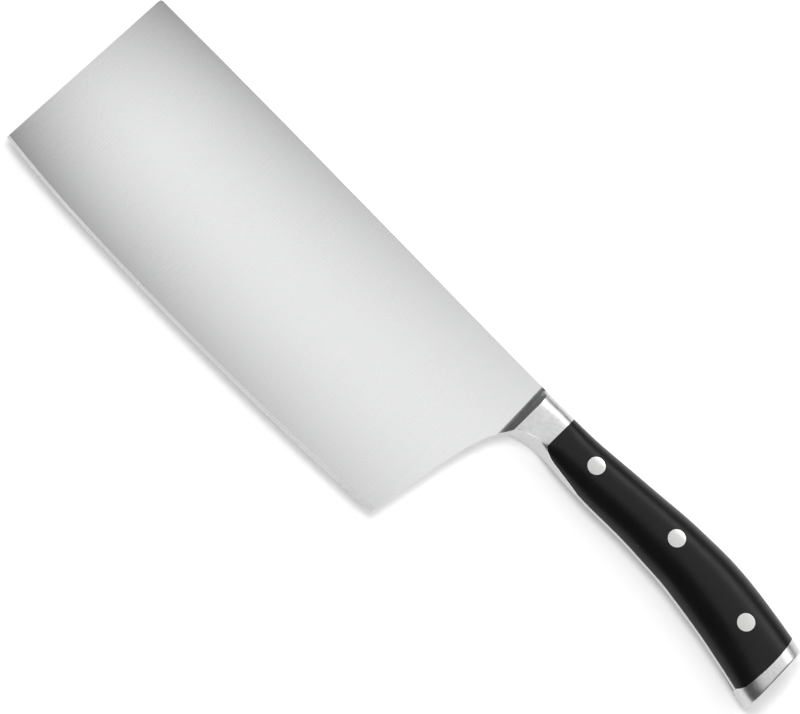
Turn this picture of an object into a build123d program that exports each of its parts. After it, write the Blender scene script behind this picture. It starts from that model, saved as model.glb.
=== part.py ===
from build123d import *

import os
from math import cos, radians, sin, tan

# Blade, measured forwards from the bolster and down from the spine; the spine's slight bow is
# pulled out by two points along its length, the rear one level and the front one raised
spine_length = 188.95
blade_depth = 77.9
front_rake = 3.0
front_rise = 3.85
heel_rise = 2.75
heel_set = 11.7
heel_lean = 10.0
edge_middle = 100.0
edge_flat = 100.0
edge_flat_rise = 0.8
spine_bow = 0.8
spine_bow_shares = (0.35, 0.68)
tip_corner = 1.2
spine_thickness = 2.4
front_thickness = 2.0
edge_thickness = 0.6
bevel_angle = 14.0

# Choil, the curve that leads from the heel into the grip
choil_start = 26.0
choil_pull_share = 0.758
choil_leave_share = 0.195
choil_leave_angle = 54.0

# Grip, measured backwards from the front of the bolster, with its butt's rounded rear corner
grip_length = 128.55
grip_depth = 23.0
grip_thickness = 20.0
bolster_length = 15.0
butt_length = 5.2
butt_rise = 0.47
butt_lean = 2.1
butt_fall_share = 1.27
butt_corner = 2.2
butt_easing = 0.8
tang_thickness = 2.5

# Cove that rises from just under the blade's faces to just under the bolster's ridge
cove_start = 1.2
cove_sink = 0.1
cove_drop = 0.1
cove_pivot_share = 0.65
cove_lean = 2.5
cove_start_angle = 5.0
cove_pull_share = 0.56
cove_steep_share = 0.13
cove_rise_share = 0.47

# Sections of the grip from ridge to butt, each row as shares: place along the grip's length,
# spine and belly heights as shares of its depth, then the greatest width and the belly's flat
# as shares of its thickness, and how straight its sides run; the last lies just past the butt
grip_section_shares = [
    (0.0234, 0.004, -0.823, 0.630, 0.600, 0.75),
    (0.0390, -0.001, -0.775, 0.650, 0.635, 0.75),
    (0.0701, -0.001, -0.714, 0.685, 0.700, 0.75),
    (0.1013, -0.001, -0.690, 0.715, 0.680, 0.73),
    (0.1247, -0.001, -0.702, 0.735, 0.540, 0.70),
    (0.1480, 0.003, -0.730, 0.750, 0.340, 0.66),
    (0.1872, 0.012, -0.758, 0.780, 0.250, 0.60),
    (0.2339, 0.030, -0.780, 0.805, 0.190, 0.57),
    (0.2963, 0.064, -0.797, 0.840, 0.120, 0.55),
    (0.3898, 0.112, -0.788, 0.900, 0.105, 0.55),
    (0.4834, 0.163, -0.793, 0.950, 0.105, 0.55),
    (0.5692, 0.197, -0.814, 0.980, 0.105, 0.55),
    (0.6549, 0.212, -0.864, 1.000, 0.105, 0.55),
    (0.7407, 0.195, -0.935, 1.000, 0.105, 0.56),
    (0.8265, 0.141, -1.023, 0.990, 0.120, 0.58),
    (0.9044, 0.075, -1.116, 0.970, 0.200, 0.62),
    (0.9499, 0.030, -1.176, 0.955, 0.280, 0.64),
    (1.0010, -0.048, -1.201, 0.929, 0.321, 0.66),
]
widest_share = 0.54
crown_share = 0.60
crease_rise_share = 0.08
crease_run_share = 0.60

# Scales, the black side plates: the outline of their window in the grip's side. Its heights are
# shares of the grip's depth: the start of the curve at its lower front corner, the two points
# that pull the curve, its end, and the rear corner
window_height_shares = (-0.635, -0.726, -0.737, -0.791, -1.174)
scale_lip_pull = 5.8
scale_lip_end = 34.0
scale_rear_step = 6.5
scale_rear_bow = 2.4
scale_rear_corner = 3.0

# Two-part rivets with flush heads: place along the grip and height as shares of its sizes
rivet_names = ("front", "middle", "rear")
rivet_place_shares = ((0.2479, -0.343), (0.5384, -0.261), (0.8300, -0.412))
rivet_head_radius = 3.2
rivet_tube_radius = 2.2
rivet_post_radius = 1.5
rivet_seat = 3.5
rivet_post_gap = 0.4

# Cuts and unions run past the surfaces they end on
overrun = 5.0

front_x = -spine_length - front_rake
front_depth = blade_depth - front_rise
heel_depth = blade_depth - heel_rise
half_tang = tang_thickness / 2
half_grip = grip_thickness / 2
grip_top = max(row[1] for row in grip_section_shares) * grip_depth

# The knife lies on its side, centred on its own length and depth; the origin is on the
# surface below it, and this plane is the middle of the blade's thickness
side = Plane(
    origin=(
        -(grip_length + front_x) / 2,
        (blade_depth - grip_top) / 2,
        half_grip,
    )
)


def crosswise(along):
    """Plane across the grip, with its own x towards the spine and its y outwards."""
    return Plane(
        origin=side.from_local_coords((along, 0, 0)), x_dir=(0, 1, 0), z_dir=(1, 0, 0)
    )


def section_sizes(row):
    """Turns one row of shares into real sizes."""
    along, spine, belly, width, flat, fullness = row
    spine, belly = spine * grip_depth, belly * grip_depth
    widest = belly + widest_share * (spine - belly)
    return (
        along * grip_length,
        spine,
        belly,
        widest,
        width * half_grip,
        flat * half_grip,
        fullness,
    )


ridge, ridge_spine, ridge_belly, ridge_widest, ridge_width, ridge_flat, ridge_full = (
    section_sizes(grip_section_shares[0])
)
near_butt, near_butt_spine = section_sizes(grip_section_shares[-2])[:2]
butt, butt_spine, butt_belly = section_sizes(grip_section_shares[-1])[:3]
butt_fall = butt_fall_share * (near_butt_spine - butt_spine) / (butt - near_butt)


def side_lines(spine, belly, widest, width, flat, fullness):
    """Draws the side of the grip's section: up from the belly's flat, then over to the spine."""
    Bezier(
        (belly, flat),
        (
            belly + crease_rise_share * (widest - belly),
            flat + crease_run_share * (width - flat),
        ),
        (widest - fullness * (widest - belly), width),
        (widest, width),
    )
    Bezier(
        (widest, width),
        (widest + fullness * (spine - widest), width),
        (spine, crown_share * width),
        (spine, 0),
    )


def edge_line():
    """Draws the cutting edge: a nearly straight middle with a rounder stretch each side."""
    flat_y = edge_flat_rise - blade_depth
    middle = ThreePointArc(
        (-edge_middle - edge_flat / 2, flat_y),
        (-edge_middle, -blade_depth),
        (-edge_middle + edge_flat / 2, flat_y),
    )
    TangentArc(middle @ 1, (-heel_set, -heel_depth), tangent=middle % 1)
    TangentArc(middle @ 0, (front_x, -front_depth), tangent=(middle % 0) * -1)


def choil_line():
    """Draws the heel's straight part and the curve from it to the bolster's ridge."""
    heel_corner = Vector(-heel_set, -heel_depth)
    up_heel = Vector(sin(radians(heel_lean)), cos(radians(heel_lean)))
    start = heel_corner + up_heel * choil_start
    end = Vector(ridge, ridge_belly)
    reach = (end - start).length
    leave = Vector(cos(radians(choil_leave_angle)), sin(radians(choil_leave_angle)))
    Line(heel_corner, start)
    Bezier(
        start,
        start + up_heel * choil_pull_share * reach,
        end - leave * choil_leave_share * reach,
        end,
    )


# Half of the grip's body, above the middle plane, before it is shared out; its rear end is
# trimmed to a slightly leaning face that rounds over to the spine
with BuildPart() as grip_half:
    for row in grip_section_shares:
        along, spine, belly, widest, width, flat, fullness = section_sizes(row)
        with BuildSketch(crosswise(along)):
            with BuildLine():
                Polyline((spine, 0), (belly, 0), (belly, flat))
                side_lines(spine, belly, widest, width, flat, fullness)
            make_face()
    loft()
    with BuildSketch(side):
        lean_slope = tan(radians(butt_lean))
        corner_y = butt_spine + butt_rise
        corner_x = grip_length - (corner_y - butt_belly) * lean_slope
        with BuildLine():
            Polyline(
                (0, -blade_depth),
                (0, corner_y + corner_x * butt_fall),
                (corner_x, corner_y),
                (grip_length + (blade_depth + butt_belly) * lean_slope, -blade_depth),
                close=True,
            )
        make_face()
        fillet(vertices().sort_by(Axis.X)[-2], radius=butt_corner)
    extrude(amount=grip_thickness, mode=Mode.INTERSECT)

# Window that each scale fills in the grip's side; below its middle it runs out over the belly
scale_rear = grip_length - butt_length
window_front_y, front_pull_y, lip_pull_y, lip_y, window_rear_y = (
    share * grip_depth for share in window_height_shares
)
with BuildPart() as window_half:
    with BuildSketch(side.offset(half_tang)):
        with BuildLine():
            Polyline(
                (scale_rear - scale_rear_bow, grip_top),
                (scale_rear - scale_rear_bow, grip_depth),
                (bolster_length, grip_depth),
                (bolster_length, window_front_y),
            )
            Bezier(
                (bolster_length, window_front_y),
                (bolster_length, front_pull_y),
                (bolster_length + scale_lip_pull, lip_pull_y),
                (scale_lip_end, lip_y),
            )
            Polyline(
                (scale_lip_end, lip_y),
                (scale_lip_end, -blade_depth),
                (scale_rear - scale_rear_step, -blade_depth),
                (scale_rear - scale_rear_step, window_rear_y),
                (scale_rear - scale_rear_bow / 2, window_rear_y),
            )
            ThreePointArc(
                (scale_rear - scale_rear_bow / 2, window_rear_y),
                (scale_rear, window_rear_y / 2),
                (scale_rear - scale_rear_bow, grip_top),
            )
        make_face()
        fillet(vertices().sort_by(Axis.X)[-1], radius=scale_rear_corner)
    extrude(amount=grip_thickness)

# Half of the blade: flat-ground, then bevelled by an oblique cut along the edge
grind_points = [
    side.from_local_coords(point)
    for point in (
        (0, 0, spine_thickness / 2),
        (-spine_length, 0, front_thickness / 2),
        (-edge_middle, -blade_depth, edge_thickness / 2),
    )
]
ground_face = Plane(
    origin=grind_points[0],
    x_dir=grind_points[0] - grind_points[1],
    z_dir=(grind_points[1] - grind_points[0]).cross(grind_points[2] - grind_points[0]),
)

with BuildSketch(side) as blade_outline:
    with BuildLine():
        edge_line()
        choil_line()
        Line((ridge, ridge_belly), (ridge, 0))
        Bezier(
            (ridge, 0),
            (-spine_bow_shares[0] * spine_length, 0),
            (-spine_bow_shares[1] * spine_length, spine_bow),
            (-spine_length, 0),
        )
        Line((-spine_length, 0), (front_x, -front_depth))
    make_face()
    fillet(vertices().sort_by(Axis.X)[1], radius=tip_corner)

with BuildPart() as blade_half:
    extrude(blade_outline.sketch, amount=spine_thickness)
    split(bisect_by=ground_face, keep=Keep.BOTTOM)
    with BuildSketch(side):
        with BuildLine():
            edge_line()
            Polyline(
                (-heel_set, -heel_depth),
                (grip_length, -heel_depth),
                (grip_length, grip_depth),
                (front_x - overrun, grip_depth),
                (front_x - overrun, -front_depth),
                (front_x, -front_depth),
            )
        make_face()
    extrude(
        amount=spine_thickness / sin(radians(bevel_angle)),
        dir=(0, cos(radians(bevel_angle)), sin(radians(bevel_angle))),
        mode=Mode.INTERSECT,
    )

# Half of the neck, where a leaning cove lifts the blade's face to the bolster's ridge
lean, start_angle = radians(cove_lean), radians(cove_start_angle)
rearwards = Vector(cos(lean), sin(lean))
cove_plane = Plane(
    origin=ground_face.from_local_coords((0, cove_pivot_share * ridge_widest, 0)),
    x_dir=rearwards,
    z_dir=rearwards.cross(ground_face.z_dir),
)
cove_run = ridge + cove_start
cove_rise = ridge_width - spine_thickness / 2 - cove_drop
with BuildPart() as neck_half:
    extrude(blade_outline.sketch, amount=ridge_width)
    with BuildSketch(cove_plane.offset(-grip_depth)):
        with BuildLine():
            start = Vector(-cove_start, -cove_sink)
            leave = Vector(cos(start_angle), sin(start_angle))
            Bezier(
                start,
                start + leave * cove_pull_share * cove_run,
                (ridge - cove_steep_share * cove_run, (1 - cove_rise_share) * cove_rise),
                (ridge, cove_rise),
            )
            Polyline(
                (ridge, cove_rise),
                (ridge + overrun, cove_rise),
                (ridge + overrun, -spine_thickness),
                (-cove_start, -spine_thickness),
                start,
            )
        make_face()
    extrude(amount=grip_depth + choil_start, mode=Mode.INTERSECT)
    with BuildSketch(crosswise(ridge)):
        with BuildLine():
            side_lines(
                ridge_spine, ridge_belly, ridge_widest, ridge_width, ridge_flat, ridge_full
            )
            Polyline(
                (ridge_belly, ridge_flat),
                (-blade_depth, ridge_flat),
                (-blade_depth, 0),
                (ridge_spine, 0),
            )
        make_face()
    extrude(amount=-blade_depth, mode=Mode.INTERSECT)

# Blade, bolster, tang and butt cap are one forging
rivet_spots = [
    (place * grip_length, height * grip_depth) for place, height in rivet_place_shares
]
with BuildPart() as blade_and_tang:
    add(grip_half.part)
    add(window_half.part, mode=Mode.SUBTRACT)
    add(neck_half.part)
    add(blade_half.part)
    mirror(about=side)
    with Locations(*[side.offset(half_grip).from_local_coords((x, y, 0)) for x, y in rivet_spots]):
        Hole(radius=rivet_tube_radius)
    rear_rim = faces().sort_by(Axis.X)[-1].edges().filter_by(GeomType.LINE, reverse=True)
    fillet(rear_rim, radius=butt_easing)
blade_and_tang.part.label = "blade_and_tang"

# Scales, stepped holes and all; the right one is the left one's mirror image
seat_height = half_tang + rivet_seat
with BuildPart() as left_scale:
    add(window_half.part)
    add(grip_half.part, mode=Mode.INTERSECT)
    with Locations(*[side.offset(half_grip).from_local_coords((x, y, 0)) for x, y in rivet_spots]):
        CounterBoreHole(
            radius=rivet_tube_radius,
            counter_bore_radius=rivet_head_radius,
            counter_bore_depth=half_grip - seat_height,
        )
left_scale.part.label = "left_scale"

with BuildPart() as right_scale:
    mirror(left_scale.part, about=side)
right_scale.part.label = "right_scale"

os.makedirs("parts", exist_ok=True)
for piece in (blade_and_tang, left_scale, right_scale):
    export_step(piece.part, f"parts/{piece.part.label}.step")

# Rivets: a socket with a tubular shank from the left, and a post pressed into it from the right
for name, (x, y) in zip(rivet_names, rivet_spots):
    with BuildPart() as socket:
        with BuildSketch(side.offset(seat_height)):
            with Locations((x, y)):
                Circle(rivet_head_radius)
        extrude(amount=grip_thickness)
        add(grip_half.part, mode=Mode.INTERSECT)
        with BuildSketch(side.offset(-seat_height)):
            with Locations((x, y)):
                Circle(rivet_tube_radius)
                Circle(rivet_post_radius, mode=Mode.SUBTRACT)
        extrude(amount=seat_height * 2)
    socket.part.label = f"{name}_rivet_socket"
    export_step(socket.part, f"parts/{socket.part.label}.step")

    with BuildPart() as post:
        with BuildSketch(side.offset(seat_height)):
            with Locations((x, y)):
                Circle(rivet_head_radius)
        extrude(amount=grip_thickness)
        add(grip_half.part, mode=Mode.INTERSECT)
        with BuildSketch(side.offset(seat_height)):
            with Locations((x, y)):
                Circle(rivet_post_radius)
        extrude(amount=rivet_post_gap - seat_height * 2)
        mirror(about=side, mode=Mode.REPLACE)
    post.part.label = f"{name}_rivet_post"
    export_step(post.part, f"parts/{post.part.label}.step")
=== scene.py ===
import math

import bpy
from mathutils import Matrix, Vector


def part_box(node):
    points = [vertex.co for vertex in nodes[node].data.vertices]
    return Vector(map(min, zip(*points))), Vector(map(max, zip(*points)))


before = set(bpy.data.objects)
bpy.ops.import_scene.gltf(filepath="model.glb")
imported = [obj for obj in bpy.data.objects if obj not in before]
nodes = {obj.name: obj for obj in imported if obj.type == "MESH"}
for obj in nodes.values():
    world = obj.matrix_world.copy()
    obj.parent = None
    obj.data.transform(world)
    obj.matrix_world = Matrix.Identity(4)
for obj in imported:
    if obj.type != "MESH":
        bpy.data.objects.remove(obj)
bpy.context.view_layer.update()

MM = 0.001
BLADE = "blade_and_tang"
SCALES = ("left_scale", "right_scale")

# The view: the camera looks down on the knife from its edge's side, tilted away from square,
# and the picture is turned so that the spine runs from upper left to lower right. The long
# distance follows the photograph, which shows almost no perspective
VIEW_TILT = math.radians(16)
VIEW_TURN = math.radians(45.52)
VIEW_DISTANCE = 9000 * MM
VIEW_WIDTH = 276.7 * MM
SENSOR_WIDTH = 36.0
AIM = Vector((-10.9, 7.852, 10)) * MM


def add_camera():
    """Puts the camera at the photograph's angle and distance."""
    tilt_cos, tilt_sin = math.cos(VIEW_TILT), math.sin(VIEW_TILT)
    backwards = Vector((0, -tilt_sin, tilt_cos))
    uphill = Vector((0, tilt_cos, tilt_sin))
    along = Vector((1, 0, 0))
    turn_cos, turn_sin = math.cos(VIEW_TURN), math.sin(VIEW_TURN)
    rightwards = along * turn_cos + uphill * turn_sin
    upwards = uphill * turn_cos - along * turn_sin
    camera = bpy.data.objects.new("camera", bpy.data.cameras.new("camera"))
    camera.data.sensor_width = SENSOR_WIDTH
    camera.data.lens = SENSOR_WIDTH * VIEW_DISTANCE / VIEW_WIDTH
    turn = Matrix((rightwards, upwards, backwards)).transposed().to_4x4()
    camera.matrix_world = Matrix.Translation(AIM + backwards * VIEW_DISTANCE) @ turn
    bpy.context.scene.collection.objects.link(camera)
    bpy.context.scene.camera = camera


def plug(tree, value, socket):
    """Puts a number on a socket, or links another node's output to it."""
    if isinstance(value, bpy.types.NodeSocket):
        tree.links.new(value, socket)
    else:
        socket.default_value = value


def calc(tree, operation, *values):
    """Works something out from numbers and sockets."""
    node = tree.nodes.new("ShaderNodeMath")
    node.operation = operation
    for value, socket in zip(values, node.inputs):
        plug(tree, value, socket)
    return node.outputs[0]


def spread(tree, value, low, high, to_low, to_high):
    """Turns one range of a value smoothly into another and holds it outside."""
    node = tree.nodes.new("ShaderNodeMapRange")
    node.interpolation_type = "SMOOTHSTEP"
    for number, socket in zip((value, low, high, to_low, to_high), node.inputs):
        plug(tree, number, socket)
    return node.outputs[0]


def blend(tree, share, first, second):
    """Goes from one value to the other as the share goes from 0 to 1."""
    node = tree.nodes.new("ShaderNodeMix")
    node.data_type = "FLOAT"
    for value, socket in zip((share, first, second), (0, 2, 3)):
        plug(tree, value, node.inputs[socket])
    return node.outputs[0]


def split(tree, vector):
    """Gives the x, y and z of a vector."""
    parts = tree.nodes.new("ShaderNodeSeparateXYZ")
    tree.links.new(vector, parts.inputs[0])
    return parts.outputs


def coordinates(tree, kind):
    """Gives a spot's place on the knife, as Object, or a direction in the sky, as Generated."""
    return tree.nodes.new("ShaderNodeTexCoord").outputs[kind]


def surface_normal(tree):
    """Gives the direction that the surface faces."""
    return tree.nodes.new("ShaderNodeNewGeometry").outputs["Normal"]


# Softboxes: bearing from +X towards +Y and height above the floor in degrees, distance and
# sides in metres, how bright the box looks, where 1 is white, and whether it shows in gloss.
# The spot casts the soft shadow that the photograph shows under the knife
SOFTBOXES = {
    "overhead": (90, 77, 1.2, 1.7, 1.3, 0.86, True),
    "strip": (95, 40, 1.4, 1.8, 0.45, 3.0, True),
    "spot": (207, 79, 1.6, 0.5, 0.5, 17.0, False),
}
SKY_DARK = 0.09
SKY_LIGHT = 0.2


def add_softboxes():
    """Hangs the softboxes round the knife, each turned towards it."""
    for name, values in SOFTBOXES.items():
        bearing, height, distance, width, depth, brightness, in_gloss = values
        lamp = bpy.data.lights.new(name, "AREA")
        lamp.shape = "RECTANGLE"
        lamp.size, lamp.size_y = width, depth
        lamp.energy = brightness * math.pi * width * depth
        level, up = math.radians(bearing), math.radians(height)
        towards = Vector(
            (math.cos(level) * math.cos(up), math.sin(level) * math.cos(up), math.sin(up))
        )
        softbox = bpy.data.objects.new(name, lamp)
        softbox.location = AIM + towards * distance
        softbox.rotation_euler = towards.to_track_quat("Z", "Y").to_euler()
        softbox.visible_glossy = in_gloss
        bpy.context.scene.collection.objects.link(softbox)


def add_sky():
    """Puts a grey sky round the knife, darkest past its cutting edge and its front."""
    world = bpy.data.worlds.new("sky")
    bpy.context.scene.world = world
    world.use_nodes = True
    tree = world.node_tree
    direction = split(tree, coordinates(tree, "Generated"))
    backwards = calc(tree, "ADD", direction["X"], direction["Y"])
    level = spread(tree, backwards, -1, 1, SKY_DARK, SKY_LIGHT)
    background = tree.nodes["Background"]
    background.inputs["Color"].default_value = (1, 1, 1, 1)
    tree.links.new(level, background.inputs["Strength"])


def new_material(name, metallic):
    """Starts a material and returns it with its node tree and its shader."""
    material = bpy.data.materials.new(name)
    material.use_nodes = True
    shader = material.node_tree.nodes["Principled BSDF"]
    shader.inputs["Metallic"].default_value = metallic
    return material, material.node_tree, shader


FLOOR_SIDE = 3.0
FLOOR_COLOUR = (0.78, 0.78, 0.78, 1)
FLOOR_ROUGHNESS = 0.9
FLOOR_GLOW = 0.36


def add_floor():
    """Lays a pale floor under the knife, which shows as white and keeps the knife's shadow."""
    mesh = bpy.data.meshes.new("floor")
    half = FLOOR_SIDE / 2
    mesh.from_pydata(
        [(-half, -half, 0), (half, -half, 0), (half, half, 0), (-half, half, 0)],
        [],
        [(0, 1, 2, 3)],
    )
    floor = bpy.data.objects.new("floor", mesh)
    bpy.context.scene.collection.objects.link(floor)
    material, tree, shader = new_material("floor", 0.0)
    shader.inputs["Base Color"].default_value = FLOOR_COLOUR
    shader.inputs["Roughness"].default_value = FLOOR_ROUGHNESS
    shader.inputs["Specular IOR Level"].default_value = 0.0
    glow = tree.nodes.new("ShaderNodeEmission")
    both = tree.nodes.new("ShaderNodeAddShader")
    rays = tree.nodes.new("ShaderNodeLightPath").outputs
    seen = calc(tree, "MAXIMUM", rays["Is Camera Ray"], rays["Is Glossy Ray"])
    seen = calc(tree, "MAXIMUM", seen, rays["Is Transmission Ray"])
    tree.links.new(calc(tree, "MULTIPLY", seen, FLOOR_GLOW), glow.inputs["Strength"])
    tree.links.new(shader.outputs[0], both.inputs[0])
    tree.links.new(glow.outputs[0], both.inputs[1])
    tree.links.new(both.outputs[0], tree.nodes["Material Output"].inputs["Surface"])
    mesh.materials.append(material)


# The reaches are the values between which the noise counts. The wider one is for the steel's
# fine grain and gives it less contrast
NOISE_DETAIL = 3.0
NOISE_REACH = (0.3, 0.7)
FINE_REACH = (0.2, 0.8)


def noise(tree, grain):
    """Draws noise whose grains have the given sizes along x, y and z."""
    shrink = tree.nodes.new("ShaderNodeMapping")
    shrink.inputs["Scale"].default_value = [1 / size for size in grain]
    texture = tree.nodes.new("ShaderNodeTexNoise")
    texture.inputs["Scale"].default_value = 1.0
    texture.inputs["Detail"].default_value = NOISE_DETAIL
    tree.links.new(coordinates(tree, "Object"), shrink.inputs["Vector"])
    tree.links.new(shrink.outputs[0], texture.inputs["Vector"])
    return texture.outputs["Fac"]


# How well the surface agrees with its rounded form, as a cosine, away from an edge and on it
EDGE_AGREEMENT = (0.995, 0.8)
EDGE_SAMPLES = 6


def edge_nearness(tree, radius):
    """Gives 1 on the sharp edges that falls off to 0 at the given distance."""
    rounded = tree.nodes.new("ShaderNodeBevel")
    rounded.samples = EDGE_SAMPLES
    rounded.inputs["Radius"].default_value = radius
    agreement = tree.nodes.new("ShaderNodeVectorMath")
    agreement.operation = "DOT_PRODUCT"
    tree.links.new(rounded.outputs[0], agreement.inputs[0])
    tree.links.new(surface_normal(tree), agreement.inputs[1])
    return spread(tree, agreement.outputs["Value"], *EDGE_AGREEMENT, 0, 1)


def grey(tree, value, tint, socket):
    """Colours a socket with a grey value times a tint."""
    colour = tree.nodes.new("ShaderNodeCombineColor")
    for share, channel in zip(tint, colour.inputs):
        tree.links.new(calc(tree, "MULTIPLY", value, share), channel)
    tree.links.new(colour.outputs[0], socket)


def bump(tree, shader, height, depth):
    """Raises the surface by a height pattern."""
    node = tree.nodes.new("ShaderNodeBump")
    node.inputs["Strength"].default_value = 1.0
    node.inputs["Distance"].default_value = depth
    tree.links.new(height, node.inputs["Height"])
    tree.links.new(node.outputs[0], shader.inputs["Normal"])


# Places on the knife, worked out from the nodes' boxes. The ridge is the bolster's, in front of
# the scales, and the blade's satin gives way to polish just in front of it
BLADE_DEPTH = 77.9 * MM
RIDGE_TO_SCALES = 12.0 * MM
FRONT_X, EDGE_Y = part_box(BLADE)[0][0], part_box(BLADE)[0][1]
SPINE_Y = EDGE_Y + BLADE_DEPTH
RIDGE_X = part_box(SCALES[0])[0][0] - RIDGE_TO_SCALES
BLADE_LENGTH = RIDGE_X - FRONT_X
POLISH_START, POLISH_FULL = RIDGE_X - 4 * MM, RIDGE_X - 2 * MM

# How far the surface leans towards the edge, as its normal's y, where the bevel starts and
# where it is fully the bevel
BEVEL_LEAN = (-0.08, -0.16)

# Steel: the colour and the roughness of its three finishes, and its tint
SATIN, BEVEL, POLISH = 0.78, 0.95, 0.63
SATIN_ROUGHNESS, BEVEL_ROUGHNESS, POLISH_ROUGHNESS = 0.27, 0.22, 0.34
STEEL_TINT = (0.995, 1.0, 1.0)
STEEL_BRIGHTEST = 0.95

# The satin's grain runs across the blade, with broad clouds over it. The polish has fine
# scratches along the grip and a soft mottling. The shades are shares of the colour, and the
# unevenness is added to the roughness
SATIN_GRAIN = (0.18 * MM, 14 * MM, 14 * MM)
SATIN_CLOUDS = (45 * MM, 30 * MM, 30 * MM)
POLISH_GRAIN = (3 * MM, 0.12 * MM, 0.12 * MM)
MOTTLE_GRAIN = (1.6 * MM, 1.0 * MM, 1.0 * MM)
STEEL_DEPTH = 0.0025 * MM
STEEL_SHADES = (0.98, 1.02)
MOTTLE_SHADES = (0.92, 1.06)
STEEL_UNEVEN = 0.03

# Steel edges are brighter, a painted highlight with a little wear, and smoother from wear, and the
# polished ones carry the brightest painted highlight
EDGE_BAND_WIDTH = 0.25 * MM
SATIN_WEAR_AND_HIGHLIGHT, POLISH_WEAR_AND_HIGHLIGHT = 0.06, 0.35
WORN_SMOOTHER = 0.06

# How much painted shade darkens the satin along each border of the blade, in place of its
# reflection growing darker there, and how far that reaches. Along the spine and the edge, the
# first number is for the rear of the blade and the second for its front. The edge rises by
# EDGE_RISE towards both its ends
PAINTED_SHADE_FRONT, PAINTED_SHADE_FRONT_REACH = 0.19, 45 * MM
PAINTED_SHADE_SPINE = (0.12, 0.50)
PAINTED_SHADE_EDGE = (0.18, 0.59)
PAINTED_SHADE_REACH = 40 * MM
EDGE_RISE = 3.2 * MM


def border(tree, distance, reach):
    """Gives 1 on a border that falls off to 0 with the square of the distance."""
    left = calc(tree, "SUBTRACT", 1.0, calc(tree, "DIVIDE", distance, reach))
    return calc(tree, "POWER", calc(tree, "MAXIMUM", left, 0.0), 2.0)


def satin_painted_shade(tree, x, y):
    """Darkens the satin with painted shade towards the blade's borders, most of all near its front.
    """
    from_front = calc(tree, "SUBTRACT", x, FRONT_X)
    forwards = calc(tree, "SUBTRACT", 1.0, calc(tree, "DIVIDE", from_front, BLADE_LENGTH))
    forwards = calc(tree, "MAXIMUM", forwards, 0.0)
    off_middle = calc(tree, "ABSOLUTE", calc(tree, "MULTIPLY_ADD", forwards, 2.0, -1.0))
    edge_rise = calc(tree, "POWER", off_middle, 2.0)
    edge = calc(tree, "MULTIPLY_ADD", edge_rise, EDGE_RISE, EDGE_Y)
    front = border(tree, from_front, PAINTED_SHADE_FRONT_REACH)
    tone = calc(tree, "MULTIPLY_ADD", front, -PAINTED_SHADE_FRONT, 1.0)
    for distance, (at_rear, at_front) in (
        (calc(tree, "SUBTRACT", SPINE_Y, y), PAINTED_SHADE_SPINE),
        (calc(tree, "SUBTRACT", y, edge), PAINTED_SHADE_EDGE),
    ):
        strength = calc(tree, "MULTIPLY_ADD", forwards, at_front - at_rear, at_rear)
        loss = calc(tree, "MULTIPLY", border(tree, distance, PAINTED_SHADE_REACH), strength)
        tone = calc(tree, "MULTIPLY", tone, calc(tree, "SUBTRACT", 1.0, loss))
    return tone


def make_steel():
    """Satin blade with a bright bevel, and a polished bolster, tang and butt."""
    material, tree, shader = new_material("blade_steel", 1.0)
    place = split(tree, coordinates(tree, "Object"))
    edge_band = edge_nearness(tree, EDGE_BAND_WIDTH)
    polished = spread(tree, place["X"], POLISH_START, POLISH_FULL, 0, 1)
    bevelled = spread(tree, split(tree, surface_normal(tree))["Y"], *BEVEL_LEAN, 0, 1)
    bevelled = calc(tree, "MULTIPLY", bevelled, calc(tree, "SUBTRACT", 1.0, polished))

    mottle = noise(tree, MOTTLE_GRAIN)
    fine = blend(tree, polished, noise(tree, SATIN_GRAIN), noise(tree, POLISH_GRAIN))
    broad = blend(tree, polished, noise(tree, SATIN_CLOUDS), mottle)

    # The satin's colour carries painted shade towards the blade's borders
    satin = calc(tree, "MULTIPLY", satin_painted_shade(tree, place["X"], place["Y"]), SATIN)
    tone = blend(tree, bevelled, blend(tree, polished, satin, POLISH), BEVEL)
    mottling = spread(tree, mottle, *NOISE_REACH, *MOTTLE_SHADES)
    tone = calc(tree, "MULTIPLY", tone, spread(tree, fine, *FINE_REACH, *STEEL_SHADES))
    tone = calc(tree, "MULTIPLY", tone, blend(tree, polished, 1.0, mottling))
    # Brightening the edges paints a highlight on them, with a little wear, strongest on the polish
    brighter = blend(tree, polished, SATIN_WEAR_AND_HIGHLIGHT, POLISH_WEAR_AND_HIGHLIGHT)
    tone = calc(tree, "MULTIPLY_ADD", edge_band, brighter, tone)
    tone = calc(tree, "MINIMUM", tone, STEEL_BRIGHTEST)
    grey(tree, tone, STEEL_TINT, shader.inputs["Base Color"])

    rough = blend(tree, polished, SATIN_ROUGHNESS, POLISH_ROUGHNESS)
    rough = blend(tree, bevelled, rough, BEVEL_ROUGHNESS)
    for pattern, reach in ((fine, FINE_REACH), (broad, NOISE_REACH)):
        rough = calc(tree, "ADD", rough, spread(tree, pattern, *reach, -STEEL_UNEVEN, STEEL_UNEVEN))
    rough = calc(tree, "MULTIPLY_ADD", edge_band, -WORN_SMOOTHER, rough)
    tree.links.new(rough, shader.inputs["Roughness"])
    bump(tree, shader, calc(tree, "ADD", fine, broad), STEEL_DEPTH)
    return material


# Scales: black hard plastic with a very fine moulded grain, rubbed a little along its edges
PLASTIC, PLASTIC_WORN = 0.0045, 0.012
PLASTIC_TINT = (1.0, 1.0, 1.06)
PLASTIC_GLOSS = 0.25
PLASTIC_ROUGHNESS = (0.3, 0.36)
PLASTIC_GRAIN = (0.22 * MM, 0.22 * MM, 0.22 * MM)
PLASTIC_CLOUDS = (14 * MM, 7 * MM, 7 * MM)
PLASTIC_DEPTH = 0.006 * MM
PLASTIC_SHADES = (0.85, 1.15)
PLASTIC_UNEVEN = 0.03


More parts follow.
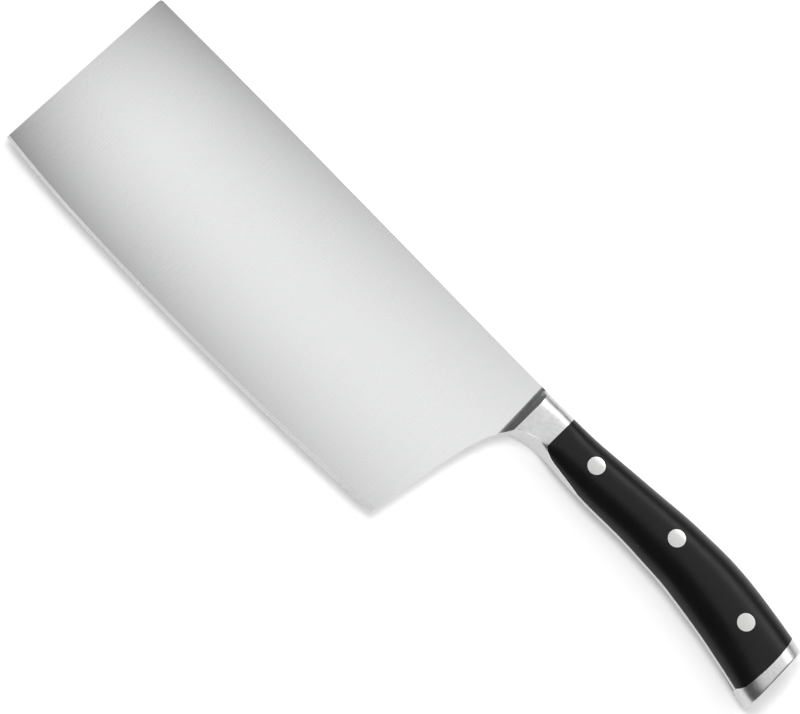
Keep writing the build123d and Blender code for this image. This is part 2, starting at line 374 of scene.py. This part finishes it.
def make_plastic():
    """Black plastic of the scales."""
    material, tree, shader = new_material("scale_plastic", 0.0)
    edge_band = edge_nearness(tree, EDGE_BAND_WIDTH)
    grain = noise(tree, PLASTIC_GRAIN)
    tone = blend(tree, edge_band, PLASTIC, PLASTIC_WORN)
    tone = calc(tree, "MULTIPLY", tone, spread(tree, grain, *NOISE_REACH, *PLASTIC_SHADES))
    grey(tree, tone, PLASTIC_TINT, shader.inputs["Base Color"])
    shader.inputs["Specular IOR Level"].default_value = PLASTIC_GLOSS
    rough = spread(tree, noise(tree, PLASTIC_CLOUDS), *NOISE_REACH, *PLASTIC_ROUGHNESS)
    uneven = spread(tree, grain, *NOISE_REACH, -PLASTIC_UNEVEN, PLASTIC_UNEVEN)
    tree.links.new(calc(tree, "ADD", rough, uneven), shader.inputs["Roughness"])
    bump(tree, shader, grain, PLASTIC_DEPTH)
    return material


# Rivets: polished, with fine scratches along the grip and a painted highlight along the rim
RIVET, RIVET_RIM_HIGHLIGHT = 0.64, 0.95
HIGHLIGHT_RIM_WIDTH = 0.4 * MM
RIVET_TINT = (1.0, 0.995, 0.98)
RIVET_ROUGHNESS = (0.26, 0.34)
RIVET_GRAIN = (2.2 * MM, 0.09 * MM, 0.09 * MM)
RIVET_DEPTH = 0.003 * MM
RIVET_SHADES = (0.96, 1.03)


def make_rivet_steel():
    """Polished steel of the rivets."""
    material, tree, shader = new_material("rivet_steel", 1.0)
    scratches = noise(tree, RIVET_GRAIN)
    # The rim's brighter colour is a painted highlight
    tone = blend(tree, edge_nearness(tree, HIGHLIGHT_RIM_WIDTH), RIVET, RIVET_RIM_HIGHLIGHT)
    tone = calc(tree, "MULTIPLY", tone, spread(tree, scratches, *NOISE_REACH, *RIVET_SHADES))
    grey(tree, tone, RIVET_TINT, shader.inputs["Base Color"])
    rough = spread(tree, scratches, *NOISE_REACH, *RIVET_ROUGHNESS)
    tree.links.new(rough, shader.inputs["Roughness"])
    bump(tree, shader, scratches, RIVET_DEPTH)
    return material


def dress():
    """Gives every piece its material."""
    steel, plastic, rivet_steel = make_steel(), make_plastic(), make_rivet_steel()
    materials = {BLADE: steel, **dict.fromkeys(SCALES, plastic)}
    for name, node in nodes.items():
        node.data.materials.clear()
        node.data.materials.append(materials.get(name, rivet_steel))


add_camera()
add_softboxes()
add_sky()
add_floor()
dress()
bpy.context.scene.view_settings.view_transform = "Standard"
